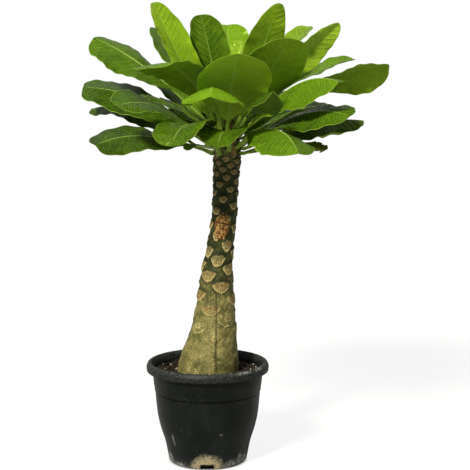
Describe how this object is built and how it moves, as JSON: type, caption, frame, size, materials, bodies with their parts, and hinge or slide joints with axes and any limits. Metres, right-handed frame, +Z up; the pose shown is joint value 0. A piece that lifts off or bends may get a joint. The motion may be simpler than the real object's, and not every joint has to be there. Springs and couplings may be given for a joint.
{
  "type": "potted hawaiian palm",
  "caption": "Potted succulent with a bottle-shaped leaf-scarred stem and a spiral crown of fleshy spoon-shaped leaves, in a tapered nursery pot with a rolled lip.",
  "frame": {"origin": "centre of the pot's foot, on the surface that it stands on", "axes": "+Z up along the pot's axis; -Y is the side that the picture shows; +X is to the right, towards which the stem leans"},
  "size_m": [0.4119, 0.3443, 0.6295],
  "materials": {
    "leaf_old": "satin",
    "leaf_full": "satin",
    "leaf_young": "satin",
    "stem": "matte",
    "soil": "matte",
    "pot": "satin"
  },
  "bodies": {
    "root": {"leaf_01": "leaf_old", "leaf_02": "leaf_old", "leaf_03": "leaf_old", "leaf_04": "leaf_old", "leaf_05": "leaf_old", "leaf_06": "leaf_old", "leaf_07": "leaf_old", "leaf_08": "leaf_old", "leaf_09": "leaf_old", "leaf_10": "leaf_old", "leaf_11": "leaf_full", "leaf_12": "leaf_full", "leaf_13": "leaf_full", "leaf_14": "leaf_full", "leaf_15": "leaf_full", "leaf_16": "leaf_full", "leaf_17": "leaf_full", "leaf_18": "leaf_full", "leaf_19": "leaf_full", "leaf_20": "leaf_full", "leaf_21": "leaf_full", "leaf_22": "leaf_full", "leaf_23": "leaf_full", "leaf_24": "leaf_full", "leaf_25": "leaf_full", "leaf_26": "leaf_full", "leaf_27": "leaf_full", "leaf_28": "leaf_full", "leaf_29": "leaf_full", "leaf_30": "leaf_full", "leaf_31": "leaf_full", "leaf_32": "leaf_full", "leaf_33": "leaf_full", "leaf_34": "leaf_full", "leaf_35": "leaf_full", "leaf_36": "leaf_full", "leaf_37": "leaf_full", "leaf_38": "leaf_full", "leaf_39": "leaf_full", "leaf_40": "leaf_young", "leaf_41": "leaf_young", "leaf_42": "leaf_young", "leaf_43": "leaf_young", "leaf_44": "leaf_young", "leaf_45": "leaf_young", "leaf_46": "leaf_young", "stem": "stem", "soil": "soil", "pot": "pot"}
  },
  "joints": []
}
